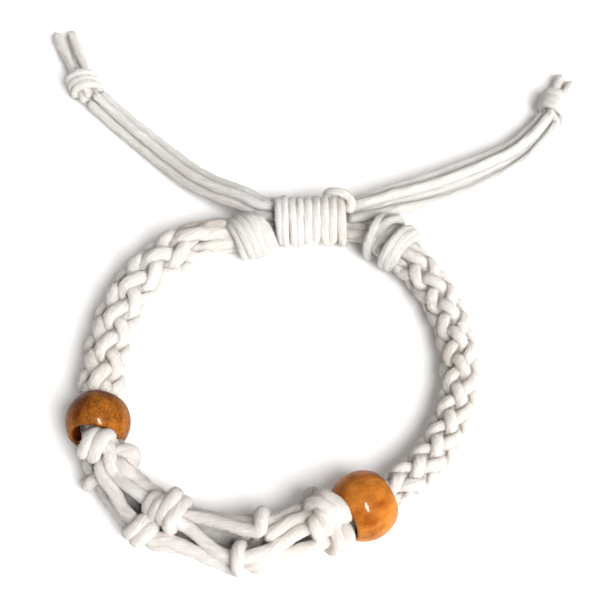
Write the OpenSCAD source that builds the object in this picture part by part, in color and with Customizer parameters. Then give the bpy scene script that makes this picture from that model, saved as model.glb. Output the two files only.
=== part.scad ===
// Adjustable cord bracelet: two eight-strand round braids of cotton cord, two wooden beads,
// a tube of knotted net between the beads, a sliding wrapped knot and two loose tails.
// Millimetres, +Z up, lying on the plane z = 0. The net is at the front (-Y), the sliding
// knot at the back (+Y). The wrist opening is the middle of the loop.

/* [Beads] */
// diameter of the left bead
bead_left_d = 10.0; // [8:0.1:14]
// diameter of the right bead
bead_right_d = 10.6; // [8:0.1:14]
// diameter of the hole through each bead
bore_d = 6.4; // [5:0.1:7]
// depth of the rounded-off edge of the hole, measured along the hole
bore_edge = 0.5; // [0.2:0.1:1]

/* [Braids] */
// length along the left braid in which a strand goes once around
braid_left_pitch = 24; // [20:0.5:28]
// the same for the right braid
braid_right_pitch = 20; // [18:0.5:28]
// size of the right braid's section against the left one's: it is pulled tighter
braid_right_size = 0.9; // [0.85:0.05:1]
// width of a strand, which is one cord
strand_w = 1.3; // [1.2:0.05:1.4]
// thickness of a strand
strand_t = 1.25; // [1.2:0.01:1.3]
// mean distance of a strand from the middle of the braid
braid_r = 2.12; // [2.05:0.01:2.25]
// how far a strand goes in and out as it passes under and over
braid_wave = 0.88; // [0.8:0.02:0.9]
// share by which a strand turns slower where it lies on the outside
braid_lazy = 0.3; // [0.2:0.05:0.4]

/* [Net] */
// diameter of a cord of the net
net_cord_d = 1.9; // [1.5:0.1:2.2]
// half width of the collapsed net at the knots' middles
net_half_w = 2.9; // [2:0.1:4]
// half height of the collapsed net at the knots' middles
net_half_h = 2.5; // [1.8:0.1:3]

/* [Closure] */
// diameter of the thinner, tighter cord of the wraps and tails
tie_cord_d = 1.4; // [1:0.1:1.6]
// length of the sliding knot
wrap_len = 12; // [9:0.5:16]
// number of wraps in the sliding knot
wraps = 9; // [6:1:11]
// diameter of the bundle inside the wraps
core_d = 4.6; // [4:0.1:5.6]
// radius of the sliding knot, to the crest of a wrap
wrap_r = 4.2; // [3.8:0.1:4.8]

/* [Hidden] */
cord_color = [0.93, 0.91, 0.87];
wood_color = [0.71, 0.42, 0.16];
gap = 0.15;

// The loop's middle line as seen from above: its distance from the origin every 15 degrees,
// counted from +X towards +Y, and its height at the same angles. Both are smoothed.
loop_r = [27.9, 28.4, 29.1, 29.4, 29.5, 28.9, 27.7, 26.9, 28.4, 28.9, 28.5, 27.6,
    27.4, 28.8, 30.3, 30.2, 29.5, 28.4, 26.6, 24.5, 25.0, 25.7, 26.5, 27.2];
loop_z = [3.7, 3.7, 3.8, 4.3, 4.8, 4.8, 4.8, 4.8, 4.3, 3.8, 3.7, 3.7,
    4.4, 5.1, 5.0, 4.9, 4.9, 4.9, 4.9, 5.1, 5.5, 4.9, 4.0, 3.7];
// angles of the beads and of the ends of the braids
bead_left_a = 195.7;
bead_right_a = 299.8;
braid_left_from = 121;
braid_left_to = 185.4;
braid_right_from = 44;
braid_right_to = -48.2;
// the sliding knot's middle, and its axis along X
slide_mid = [4.8, 28.4, 4.4];
// the tails' routes, from the sliding knot to the end knots
tail_left = [[-1.7, 30.2, 5.5], [-3.6, 30.4, 5.7], [-6.6, 32.5, 5.3], [-10.2, 34.5, 4.5],
    [-14.0, 37.2, 3.5], [-18.3, 41.2, 2.6], [-22.6, 45.4, 2.1], [-27.1, 49.7, 2.0],
    [-31.5, 54.0, 2.5]];
tail_right = [[11.3, 30.0, 5.5], [13.6, 30.4, 5.6], [18.0, 31.9, 5.3], [23.9, 33.8, 4.8],
    [29.1, 36.0, 4.4], [33.8, 38.6, 4.0], [38.9, 42.0, 3.5], [42.5, 46.0, 2.9],
    [45.1, 49.7, 2.5]];
// the net's knots in four rows from the left bead: angle on the loop, turn around the net
// (0 outwards, 90 up) and size of each
net_knots = [
    [[207.8, 68, 1.5], [206.8, 150, 1.3], [207, 240, 1.3], [207.4, 330, 1.3]],
    [[234.0, 122, 1.8], [233.6, 205, 1.4], [232.6, 285, 1.4], [231.2, 12, 1.5]],
    [[261.0, 8, 1.6], [264.6, 135, 1.5], [263.0, 222, 1.4], [261.6, 295, 1.4]],
    [[286.6, 88, 1.88], [287.3, 181, 1.4], [287.6, 256, 1.3], [288.2, -22, 1.48]]];

// moves the whole bracelet so that the loop's box is centred on the origin
shift = [0.87, 0, 0];
module cord() { color(cord_color) translate(shift) children(); }
module wood() { color(wood_color) translate(shift) children(); }

function unit(v) = v / norm(v);
function dot(a, b) = a * b;
// uniform cubic B-spline of a closed list of values, at t values from the start
function closed_spline(v, t) =
    let (n = len(v), i = floor(t), u = t - i,
         a = v[(i - 1 + 4 * n) % n], b = v[(i + 4 * n) % n],
         c = v[(i + 1 + 4 * n) % n], d = v[(i + 2 + 4 * n) % n])
    (pow(1 - u, 3) * a + (3 * u * u * u - 6 * u * u + 4) * b
     + (-3 * u * u * u + 3 * u * u + 3 * u + 1) * c + u * u * u * d) / 6;
function loop_at(a) =
    let (r = closed_spline(loop_r, a / 15))
    [r * cos(a), r * sin(a), closed_spline(loop_z, a / 15)];
// directions at an angle of the loop: along it, outwards, and upwards across both
function along(a) = unit(loop_at(a + 0.1) - loop_at(a - 0.1));
function outward(a) = let (t = along(a)) unit([t[1], -t[0], 0]);
function upward(a) = cross(outward(a), along(a));
// a point near the loop: o outwards and v upwards
function beside(a, o, v) = loop_at(a) + o * outward(a) + v * upward(a);

// Catmull-Rom curve through open points, each span cut in k
function smooth_path(p, k) =
    let (n = len(p))
    concat([for (i = [0 : n - 2], j = [0 : k - 1])
        let (t = j / k, a = p[max(i - 1, 0)], b = p[i], c = p[i + 1], d = p[min(i + 2, n - 1)])
        0.5 * (2 * b + (c - a) * t + (2 * a - 5 * b + 4 * c - d) * t * t
               + (3 * b - a - 3 * c + d) * t * t * t)], [p[n - 1]]);
function tangent(p, i) = unit(p[min(i + 1, len(p) - 1)] - p[max(i - 1, 0)]);
// a direction across the path at each point, carried along without turning
function carried(p, first) =
    [for (i = 0, n = unit(first - dot(first, tangent(p, 0)) * tangent(p, 0));
          i < len(p);
          i = i + 1,
          n = i < len(p) ? unit(n - dot(n, tangent(p, i)) * tangent(p, i)) : n) n];

// one solid swept along p; wide[i] is the direction of its width at p[i], and w and t, its
// width and thickness, are numbers or lists with one for each point
module swept(p, wide, w, t, sides) {
    n = len(p);
    pts = [for (i = [0 : n - 1])
        let (d = tangent(p, i), a = unit(wide[i] - dot(wide[i], d) * d), b = cross(d, a),
             wi = is_list(w) ? w[i] : w, ti = is_list(t) ? t[i] : t)
        for (k = [0 : sides - 1])
            p[i] + a * (wi / 2 * cos(360 * k / sides)) + b * (ti / 2 * sin(360 * k / sides))];
    faces = concat(
        [[for (k = [0 : sides - 1]) k]],
        [for (i = [0 : n - 2], k = [0 : sides - 1])
            let (a = i * sides + k, b = i * sides + (k + 1) % sides)
            each [[a, a + sides, b], [b, a + sides, b + sides]]],
        [[for (k = [sides - 1 : -1 : 0]) (n - 1) * sides + k]]);
    polyhedron(pts, faces, convexity = 8);
}

// a closed band around c: e1 and e2 span it with half sizes r1 and r2, w is its width
module band(c, e1, e2, r1, r2, w, t, sides, steps) {
    axis = cross(e1, e2);
    pts = [for (i = [0 : steps - 1])
        let (u = 360 * i / steps, away = unit(cos(u) / r1 * e1 + sin(u) / r2 * e2))
        for (k = [0 : sides - 1])
            c + r1 * cos(u) * e1 + r2 * sin(u) * e2
              + axis * (w / 2 * cos(360 * k / sides)) + away * (t / 2 * sin(360 * k / sides))];
    faces = [for (i = [0 : steps - 1], k = [0 : sides - 1])
        let (a = i * sides + k, b = i * sides + (k + 1) % sides,
             c = (i + 1) % steps * sides + k, d = (i + 1) % steps * sides + (k + 1) % sides)
        each [[a, c, b], [b, c, d]]];
    polyhedron(pts, faces, convexity = 8);
}

// a rounded cord end, from point c on in direction d
module tip(c, d, size) {
    side = unit(cross(abs(d[2]) < 0.9 ? [0, 0, 1] : [1, 0, 0], d));
    hull() for (x = [[-0.3, 1], [0.25, 0.6]]) let (q = c + x[0] * d)
        multmatrix([[side[0], cross(d, side)[0], d[0], q[0]],
                    [side[1], cross(d, side)[1], d[1], q[1]],
                    [side[2], cross(d, side)[2], d[2], q[2]], [0, 0, 0, 1]])
            cylinder(h = 0.1, d = size * x[1], $fn = 6);
}

// puts its children in a bead's place, with Z along the hole
module at_bead(a, d) {
    t = along(a);
    c = loop_at(a);
    translate([c[0], c[1], d / 2]) rotate([0, 0, atan2(t[1], t[0])]) rotate([0, 90, 0])
        children();
}
// a wooden bead: a ball with a wide hole whose edges are rounded off
module bead(a, d) {
    mouth = sqrt(d * d - bore_d * bore_d) / 2;
    at_bead(a, d)
        difference() {
            sphere(d = d, $fn = 64);
            cylinder(h = d + 2, d = bore_d, center = true, $fn = 48);
            for (s = [-1, 1]) rotate([s < 0 ? 180 : 0, 0, 0])
                translate([0, 0, mouth - bore_edge])
                    cylinder(h = 2, d1 = bore_d - 0.02, d2 = bore_d + 2.4, $fn = 48);
        }
}
module bead_left() { wood() bead(bead_left_a, bead_left_d); }
module bead_right() { wood() bead(bead_right_a, bead_right_d); }

// strand k of an eight-strand round braid from one angle of the loop to another: four strands
// turn one way, four the other, and each goes over one and under the next
module braid_strand(from, to, pitch, size, k) {
    turns = abs(to - from) * 28 * PI / 180 / pitch;
    steps = round(18 * turns);
    sense = k < 4 ? 1 : -1;
    a = [for (i = [0 : steps]) from + (to - from) * i / steps];
    turn = [for (i = [0 : steps])
        let (t = sense * 360 * turns * i / steps + 90 * (k % 4))
        t + sense * braid_lazy * 45 / PI * sin(4 * t)];
    wave = [for (t = turn) let (c = -0.8 * sense * cos(4 * t)) c * (1 - c * c / 3) / 0.6293];
    away = [for (i = [0 : steps])
        cos(turn[i]) * outward(a[i]) + sin(turn[i]) * upward(a[i])];
    p = [for (i = [0 : steps])
        loop_at(a[i]) + size * (braid_r + braid_wave * wave[i]) * away[i]];
    swept(p, [for (i = [0 : steps]) cross(tangent(p, i), away[i])], size * strand_w,
        size * strand_t, 6);
}
module strand_left(k) {
    braid_strand(braid_left_from, braid_left_to, braid_left_pitch, 1, k);
}
module strand_right(k) {
    braid_strand(braid_right_from, braid_right_to, braid_right_pitch, braid_right_size, k);
}
module braid_left_strand_1() { cord() strand_left(0); }
module braid_left_strand_2() { cord() strand_left(1); }
module braid_left_strand_3() { cord() strand_left(2); }
module braid_left_strand_4() { cord() strand_left(3); }
module braid_left_strand_5() { cord() strand_left(4); }
module braid_left_strand_6() { cord() strand_left(5); }
module braid_left_strand_7() { cord() strand_left(6); }
module braid_left_strand_8() { cord() strand_left(7); }
module braid_right_strand_1() { cord() strand_right(0); }
module braid_right_strand_2() { cord() strand_right(1); }
module braid_right_strand_3() { cord() strand_right(2); }
module braid_right_strand_4() { cord() strand_right(3); }
module braid_right_strand_5() { cord() strand_right(4); }
module braid_right_strand_6() { cord() strand_right(5); }
module braid_right_strand_7() { cord() strand_right(6); }
module braid_right_strand_8() { cord() strand_right(7); }

// a point of the net's tube at an angle of the loop and a turn around the net
function net_point(a, turn) = beside(a, net_half_w * cos(turn), net_half_h * sin(turn));
// which knot of a row a cord runs through, and on which side of that knot
function knot_of(cord, row) = net_knots[row][row % 2 == 0 ? floor(cord / 2)
                                                          : floor((cord + 7) % 8 / 2)];
function side_of(cord, row) = (row % 2 == 0 ? cord % 2 : (cord + 7) % 2) - 0.5;
function in_bead(a, r, turn) = beside(a, r * cos(turn), r * sin(turn));
function net_cord_path(cord) =
    let (first = knot_of(cord, 0)[1] + 44 * side_of(cord, 0),
         last = knot_of(cord, 3)[1] + 44 * side_of(cord, 3))
    concat([in_bead(bead_left_a + 4, 1.8, first), in_bead(bead_left_a + 7.8, 2.0, first)],
        [for (row = [0 : 3], da = [-2.2, 2.2])
            let (k = knot_of(cord, row)) net_point(k[0] + da, k[1] + 22 * side_of(cord, row))],
        [in_bead(bead_right_a - 8.4, 2.0, last), in_bead(bead_right_a - 4, 1.8, last)]);
module net_knot(k, lean) {
    a = k[0];
    out = cos(k[1]) * outward(a) + sin(k[1]) * upward(a);
    d = along(a) * cos(lean) + cross(out, along(a)) * sin(lean);
    band(net_point(a, k[1]), out, cross(d, out), k[2], k[2] + 0.2, net_cord_d, net_cord_d, 6, 10);
}
module net_cords() {
    for (cord = [0 : 7]) {
        p = net_cord_path(cord);
        last = len(p) - 1;
        swept(p, carried(p, [0, 0, 1]), net_cord_d, net_cord_d, 6);
        tip(p[0], -tangent(p, 0), net_cord_d);
        tip(p[last], tangent(p, last), net_cord_d);
    }
    for (row = [0 : 3], q = [0 : 3]) net_knot(net_knots[row][q], q % 2 == 0 ? 28 : -28);
}
// the cords through a bead as one bundle, and the room that the bead's wood takes
module bead_bundle(a, d) {
    at_bead(a, d) cylinder(h = 7.4, d = bore_d - 0.4, center = true, $fn = 12);
}
module bead_room(a, d) {
    at_bead(a, d) difference() {
        sphere(d = d + 2 * gap, $fn = 32);
        cylinder(h = d + 2, d = bore_d - 0.34, center = true, $fn = 24);
    }
}
module net() {
    cord() difference() {
        union() {
            net_cords();
            bead_bundle(bead_left_a, bead_left_d);
            bead_bundle(bead_right_a, bead_right_d);
        }
        bead_room(bead_left_a, bead_left_d);
        bead_room(bead_right_a, bead_right_d);
    }
}

// the big knots at the ends of the braids: the gathered cords, the bands thrown around
// them and the thinner bundle that goes on into the wraps
module knot_left() {
    c = [-5.3, 25.2, 4.6];
    gathered = smooth_path([beside(braid_left_from - 2.2, 0, 0), [-11.4, 25.3, 4.5],
        [-8, 25.5, 4.5], [-4.2, 26.4, 4.2], [-1.65, 26.8, 3.8]], 2);
    cord() {
        swept(gathered, [for (x = gathered) [0, 1, 0.02]],
            [5.9, 5.9, 5.8, 5.6, 5.4, 5.0, 4.0, 2.8, 2.8],
            [5.6, 5.4, 5.0, 5.0, 5.0, 4.6, 3.6, 2.8, 2.8], 8);
        band(c, [0, 0, 1], [-sin(24), cos(24), 0], 3.5, 2.55, 3.8, 1.8, 8, 14);
        band(c + [-1.9, -0.4, -0.4], [0, sin(30), cos(30)],
             unit([sin(24), cos(24) * cos(30), -cos(24) * sin(30)]), 3.0, 3.0, 2.4, 1.6, 6, 12);
    }
}
module knot_right() {
    c = [17.3, 24.4, 4.8];
    gathered = smooth_path([beside(braid_right_from + 2.2, 0, 0), [18.7, 22.9, 4.6],
        [16.0, 24.8, 4.6], [13.6, 26.4, 4.2], [11.3, 26.8, 3.8]], 2);
    cord() {
        swept(gathered, [for (x = gathered) [0, 1, 0.02]],
            [5.8, 5.8, 5.4, 5.2, 5.0, 4.4, 3.4, 2.8, 2.8],
            [5.6, 5.4, 5.0, 4.8, 4.6, 4.0, 3.4, 2.8, 2.8], 8);
        band(c, [0, 0, 1], [sin(40), cos(40), 0], 3.6, 3.6, 3.8, 1.8, 8, 14);
        band(c + [-2.2, 0.1, 0.1], [0, -sin(24), cos(24)],
             unit([sin(62), cos(62) * cos(24), cos(62) * sin(24)]), 3.2, 2.9, 1.9, 1.7, 6, 12);
    }
}

// the sliding knot: a turned solid whose outside rises and falls with each wrap
module sliding_knot() {
    wrap = wrap_len / wraps;
    bore = core_d / 2 + gap;
    crest = [for (i = [0 : wraps - 1], j = [0 : 4])
        let (u = 36 * j + 18)
        [wrap_r - wrap / 2 + wrap / 2 * sin(u), i * wrap + wrap / 2 * (1 - cos(u))]];
    cord()
        translate(slide_mid - [wrap_len / 2, 0, 0]) rotate([0, 90, 0])
            rotate_extrude($fn = 40)
                polygon(concat([[bore, 0]], crest, [[bore, wrap_len]]));
}
module closure_core() {
    cord()
        translate(slide_mid - [wrap_len / 2 - 0.02, 0, 0]) rotate([0, 90, 0])
            cylinder(h = wrap_len - 0.04, d = core_d, $fn = 24);
}

// a tail's strand: the tail's route moved sideways by u and upwards by v, with u growing to
// u + spread half way along
module tail_strand(route, u, v, spread) {
    n = len(route) - 1;
    moved = [for (i = [0 : n])
        let (d = tangent(route, i), s = unit([-d[1], d[0], 0]))
        route[i] + s * (u + spread * pow(sin(180 * i / n), 2)) + [0, 0, v]];
    swept(moved, [for (x = moved) [0, 0, 1]], tie_cord_d, tie_cord_d, 8);
}
module tail_left_strand_1() { cord() tail_strand(tail_left, -1.5, -0.3, -0.1); }
module tail_left_strand_2() { cord() tail_strand(tail_left, 0, -0.6, 0); }
module tail_left_strand_3() { cord() tail_strand(tail_left, 1.5, -0.3, 0.1); }
module tail_left_strand_4() { cord() tail_strand(tail_left, 0.1, 0.95, 0.3); }
module tail_right_strand_1() { cord() tail_strand(tail_right, 1.5, -0.3, 1.4); }
module tail_right_strand_2() { cord() tail_strand(tail_right, 0, -0.6, 0.1); }
module tail_right_strand_3() { cord() tail_strand(tail_right, -1.5, -0.3, -0.6); }
module tail_right_strand_4() { cord() tail_strand(tail_right, 0.1, 0.95, 0.6); }

// the knot near a tail's end: bands around the strands, and the cut ends beyond it
module end_knot(c, d, ends) {
    side = unit(cross([0, 0, 1], d));
    up = cross(d, side);
    cord() {
        swept([c - 2.3 * d, c, c + 2.3 * d], [side, side, side], 4.0, 3.2, 8);
        for (k = [-1 : 1]) band(c + 1.35 * k * d, up,
            unit(side + 0.25 * d), 1.7, 2.0, tie_cord_d, tie_cord_d, 6, 10);
        for (e = ends) {
            p = [c + 1.4 * d + side * e[0] + up * 0.3,
                 c + 4.2 * d + side * (e[0] + e[1]) / 2 + [0, 0, -0.4],
                 [c[0] + e[2] * d[0] + side[0] * e[1], c[1] + e[2] * d[1] + side[1] * e[1], e[3]]];
            swept(p, carried(p, [0, 0, 1]), tie_cord_d, tie_cord_d, 8);
        }
    }
}
module end_knot_left() {
    d = unit([-0.38, 0.92, 0]);
    end_knot([-33.3, 57.0, 2.6], d, [[1.0, 1.9, 12.6, 0.9], [-0.8, -2.0, 11.4, 0.9]]);
}
module end_knot_right() {
    d = unit([0.36, 0.93, 0]);
    end_knot([46.4, 52.6, 2.6], d, [[0.9, 1.0, 6.6, 1.1], [-0.8, -1.0, 6.0, 0.9]]);
}

bead_left();
bead_right();
braid_left_strand_1();
braid_left_strand_2();
braid_left_strand_3();
braid_left_strand_4();
braid_left_strand_5();
braid_left_strand_6();
braid_left_strand_7();
braid_left_strand_8();
braid_right_strand_1();
braid_right_strand_2();
braid_right_strand_3();
braid_right_strand_4();
braid_right_strand_5();
braid_right_strand_6();
braid_right_strand_7();
braid_right_strand_8();
net();
knot_left();
knot_right();
sliding_knot();
closure_core();
tail_left_strand_1();
tail_left_strand_2();
tail_left_strand_3();
tail_left_strand_4();
tail_right_strand_1();
tail_right_strand_2();
tail_right_strand_3();
tail_right_strand_4();
end_knot_left();
end_knot_right();
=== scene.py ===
"""Looks of an adjustable cord bracelet: cotton cords, knots and wooden beads over the CAD part.

Shapes are worked out in millimetres in the source's own coordinates. SHIFT and MM bring them to
the part's frame, in metres, when a mesh is made.
"""

import logging
from dataclasses import dataclass, fields, replace
from enum import Enum
from typing import Sequence

import bpy
import numpy as np
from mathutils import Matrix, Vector


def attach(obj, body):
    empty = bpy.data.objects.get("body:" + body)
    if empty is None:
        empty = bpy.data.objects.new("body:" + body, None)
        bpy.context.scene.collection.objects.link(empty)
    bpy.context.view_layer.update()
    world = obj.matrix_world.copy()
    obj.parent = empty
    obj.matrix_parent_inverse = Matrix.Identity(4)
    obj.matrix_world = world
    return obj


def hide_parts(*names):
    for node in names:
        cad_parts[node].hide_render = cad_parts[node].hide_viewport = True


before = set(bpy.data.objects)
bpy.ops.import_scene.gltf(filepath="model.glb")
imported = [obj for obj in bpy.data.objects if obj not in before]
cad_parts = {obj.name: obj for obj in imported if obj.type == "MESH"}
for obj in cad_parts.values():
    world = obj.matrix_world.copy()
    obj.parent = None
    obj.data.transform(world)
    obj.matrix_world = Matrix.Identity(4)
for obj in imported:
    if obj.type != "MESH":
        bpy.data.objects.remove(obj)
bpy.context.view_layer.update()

Array = np.ndarray
Point = tuple[float, float, float]
Tint = tuple[float, float, float]
Socket = bpy.types.NodeSocket
Material = bpy.types.Material
Object = bpy.types.Object
MM = 0.001
SHIFT = np.array([0.87, 0.0, 0.0])
UP = np.array([0.0, 0.0, 1.0])
STEP = 0.3  # usual distance between two points of a cord's route
LOG = logging.getLogger("bracelet")


# --- curves and directions ---


def unit(v: Array) -> Array:
    """Vectors of length one along the last axis."""
    return v / np.maximum(np.linalg.norm(v, axis=-1, keepdims=True), 1e-12)


def tangents(path: Array) -> Array:
    """Unit direction of a path at each of its points."""
    return unit(np.gradient(path, axis=0))


def arc(path: Array) -> Array:
    """Length along a path from its first point to each point."""
    return np.concatenate([[0.0], np.cumsum(np.linalg.norm(np.diff(path, axis=0), axis=1))])


def ramp(x: Array, low: float, high: float) -> Array:
    """Smooth step from 0 at low to 1 at high: u * u * (3 - 2u) with u clipped to 0..1."""
    u = np.clip((x - low) / (high - low), 0.0, 1.0)
    return u * u * (3 - 2 * u)


def drawn(seed: int, low: float, high: float) -> float:
    """A number between low and high that belongs to a seed."""
    return float(np.random.default_rng(seed).uniform(low, high))


def even(path: Array, step: float = STEP) -> Array:
    """Points at equal lengths along a path.

    Args:
        path: points of a fine polyline.
        step: wanted distance between two points.

    Returns:
        Points p(s) for s = 0, h, 2h ... where h is the step that fits a whole number of times.
    """
    s = arc(path)
    want = np.linspace(0.0, s[-1], max(int(round(s[-1] / step)), 4) + 1)
    return np.stack([np.interp(want, s, path[:, k]) for k in range(3)], axis=1)


def curve(points: Sequence[Sequence[float]] | Array, step: float = STEP) -> Array:
    """A smooth curve through points.

    Each span is a cubic Hermite piece in t, where t grows with the square root of the chord and
    the slopes are the differences of the neighbouring points over their t.

    Args:
        points: the points that the curve goes through.
        step: distance between the returned points.

    Returns:
        Evenly spaced points of the curve.
    """
    p = np.asarray(points, float)
    t = np.concatenate([[0.0], np.cumsum(np.sqrt(np.linalg.norm(np.diff(p, axis=0), axis=1)))])
    slope = np.gradient(p, t, axis=0)
    want = np.linspace(0.0, t[-1], 24 * len(p))
    i = np.clip(np.searchsorted(t, want, side="right") - 1, 0, len(p) - 2)
    h = (t[i + 1] - t[i])[:, None]
    u = (want - t[i])[:, None] / h
    fine = (
        (2 * u**3 - 3 * u**2 + 1) * p[i]
        + (u**3 - 2 * u**2 + u) * h * slope[i]
        + (-2 * u**3 + 3 * u**2) * p[i + 1]
        + (u**3 - u**2) * h * slope[i + 1]
    )
    return even(fine, step)


def carried(path: Array, first: Sequence[float] | Array) -> Array:
    """A direction across a path, carried along it without turning.

    Args:
        path: points of the path.
        first: the direction wanted at its first point.

    Returns:
        At each point the last direction less its part along the path, made a unit vector.
    """
    out = np.empty_like(path)
    now = np.asarray(first, float)
    for i, t in enumerate(tangents(path)):
        now = unit(now - (now @ t) * t)
        out[i] = now
    return out


def eased(path: Array, reach: float, step: float = 0.45) -> Array:
    """A polyline with its corners rounded off.

    Args:
        path: the polyline.
        reach: how far a corner's influence goes, in millimetres.
        step: distance between the returned points.

    Returns:
        Weighted means of the points around, with the weights of a bell curve; both ends stay.
    """
    p = even(path, step)
    half = int(np.ceil(2.5 * reach / step))
    bell = np.exp(-0.5 * (np.arange(-half, half + 1) * step / reach) ** 2)
    before, after = 2 * p[:1] - p[half:0:-1], 2 * p[-1:] - p[-2 : -half - 2 : -1]
    padded = np.concatenate([before, p, after])
    smooth = [np.convolve(padded[:, k], bell / bell.sum(), mode="valid") for k in range(3)]
    return np.stack(smooth, axis=1)


def settle(
    paths: Sequence[Array],
    widths: Sequence[Array],
    rounds: int = 40,
    give: float = 0.86,
    speed: float = 0.55,
    smooth: float = 0.22,
    pull: float = 0.03,
    skip: float = 1.6,
    step: float = 0.45,
) -> list[Array]:
    """Pushes cords apart until they lie side by side, and keeps them above the floor.

    In each round every two points nearer than their mean width times give move apart, each point
    moves towards the middle of its neighbours and a little towards its first place, and the
    first and last points stay.

    Args:
        paths: points of each cord, step apart.
        widths: width of each cord at each of its points.
        rounds: number of rounds.
        give: how far the cords press into each other.
        speed: share of an overlap that a round takes away.
        smooth: how strongly a point keeps between its neighbours.
        pull: how strongly a point keeps to its first place.
        skip: how many widths apart two points of one cord begin to push.
        step: distance between two points of a cord.

    Returns:
        The new points of each cord.
    """
    sizes = [len(p) for p in paths]
    first = np.concatenate(paths).astype(np.float32)
    cord = np.repeat(np.arange(len(paths)), sizes)
    place = np.concatenate([np.arange(n) for n in sizes])
    wide = np.concatenate(widths).astype(np.float32)
    near = np.abs(place[:, None] - place[None]) * step < skip * wide[:, None]
    free = ~((cord[:, None] == cord[None]) & near)
    want = (wide[:, None] + wide[None]) / 2 * give * free
    ends = (place < 2) | (place > np.repeat(sizes, sizes) - 3)
    now = first.copy()
    for _ in range(rounds):
        gap = now[:, None] - now[None]
        far = np.sqrt((gap**2).sum(-1)) + 1e-6
        over = np.maximum(want - far, 0.0)
        push = (gap / far[..., None] * over[..., None]).sum(1)
        now += speed * push / np.maximum((over > 0).sum(1), 1)[:, None]
        middle = (np.roll(now, 1, axis=0) + np.roll(now, -1, axis=0)) / 2
        moved = now + smooth * (middle - now) + pull * (first - now)
        now = np.where(ends[:, None], first, moved)
        now[:, 2] = np.maximum(now[:, 2], wide / 2)
    return np.split(now.astype(float), np.cumsum(sizes)[:-1])


# --- surfaces ---


@dataclass
class Surface:
    """Corners, faces and what the materials read, before they become a mesh."""

    verts: Array
    quads: Array
    tris: Array
    quad_uv: Array
    tri_uv: Array
    tone: Array

    @staticmethod
    def joined(parts: Sequence["Surface"]) -> "Surface":
        """Several surfaces as one.

        Args:
            parts: the surfaces.

        Returns:
            Their lists one after the other, with each part's corner numbers moved on.
        """
        starts = np.cumsum([0] + [len(p.verts) for p in parts[:-1]])
        moved = [replace(p, quads=p.quads + s, tris=p.tris + s) for p, s in zip(parts, starts)]
        lists = [[getattr(p, f.name) for p in moved] for f in fields(Surface)]
        return Surface(*map(np.concatenate, lists))


def band(rows: int, n: int, closed: bool = False) -> tuple[Array, Array]:
    """Faces between rings of corners.

    Args:
        rows: number of rings.
        n: corners of a ring.
        closed: whether the last ring joins the first one.

    Returns:
        The four corner numbers of each face, and for each corner its (column, row) before the
        last column and row wrap.
    """
    i, j = np.meshgrid(np.arange(rows - (not closed)), np.arange(n), indexing="ij")
    corners = [np.stack([j + a, i + b], -1) for a, b in ((0, 0), (1, 0), (1, 1), (0, 1))]
    place = np.stack(corners, -2).reshape(-1, 4, 2)
    return place[..., 1] % rows * n + place[..., 0] % n, place


def ripples(u: Array, v: Array, seed: int, amount: float) -> Array:
    """Soft unevenness of a hand-laid cord.

    Args:
        u: turn around the cord, 0 to 1.
        v: millimetres along it.
        seed: chooses the phases.
        amount: largest share of the radius.

    Returns:
        Sum of five sines of a * v + 2 pi m u + phase, scaled to the amount.
    """
    rng = np.random.default_rng(seed)
    total = np.zeros(np.broadcast(u, v).shape)
    for turns, rate in ((0, 0.8), (1, 1.3), (1, 2.4), (2, 1.7), (3, 3.1)):
        phase = rng.uniform(0, 2 * np.pi, 2)
        total += np.sin(rate * v * rng.uniform(0.8, 1.2) + 2 * np.pi * turns * u + phase[0])
    return amount * total / 3.0


def stray_fibres(skin: Surface, count: int, seed: int) -> Surface:
    """Loose fibres, 0.35 to 1.35 mm long, that stand off a cord.

    A fibre runs along root + L (s d + s (0.35 + lift s) n), with s from 0 to 1, n outwards and d
    roughly along the cord. It has three corners around, three rings and a pointed tip.

    Args:
        skin: the cord's surface.
        count: number of fibres.
        seed: chooses their places and sizes.

    Returns:
        The fibres as one surface.
    """
    rng = np.random.default_rng(seed)
    corner = skin.verts[skin.quads[rng.integers(0, len(skin.quads), count)]]
    root = corner.mean(1)
    out = unit(np.cross(corner[:, 2] - corner[:, 0], corner[:, 3] - corner[:, 1]))
    along = unit(corner[:, 3] - corner[:, 0]) * rng.choice([-1.0, 1.0], count)[:, None]
    lay = unit(along + rng.normal(0, 0.45, (count, 1)) * np.cross(out, along))
    long = 0.35 + 1.0 * rng.random(count)[:, None] ** 2
    lift = rng.uniform(-0.3, 0.7, (count, 1))
    thick = rng.uniform(0.017, 0.03, (count, 1, 1))
    side = unit(np.cross(out, lay))
    turn = (np.arange(3) * 2 * np.pi / 3)[:, None]
    rings = []
    for s, size in ((0.0, 1.0), (0.4, 0.9), (0.75, 0.7)):
        sunk = 0.03 * out * (s == 0)
        spot = root + long * (s * lay + s * (0.35 + lift * s) * out) - sunk
        other = np.cross(unit(lay + (0.35 + 2 * lift * s) * out), side)
        ring = np.cos(turn) * side[:, None] + np.sin(turn) * other[:, None]
        rings.append(spot[:, None] + size * thick * ring)
    tip = root + long * (lay + (0.35 + lift) * out)
    verts = np.concatenate([*rings, tip[:, None]], axis=1)
    verts[..., 2] = np.maximum(verts[..., 2], 0.02)
    start = 10 * np.arange(count)[:, None, None]
    cap = [[9, 6, 7], [9, 7, 8], [9, 8, 6], [2, 1, 0]]
    uv = rng.random((count, 2)) * [1.0, 30.0]
    return Surface(
        verts.reshape(-1, 3),
        (start + band(3, 3)[0]).reshape(-1, 4),
        (start + np.array(cap)).reshape(-1, 3),
        np.repeat(uv, 6, axis=0)[:, None].repeat(4, 1),
        np.repeat(uv, 4, axis=0)[:, None].repeat(3, 1),
        np.full(10 * count, skin.tone[0]),
    )


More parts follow.
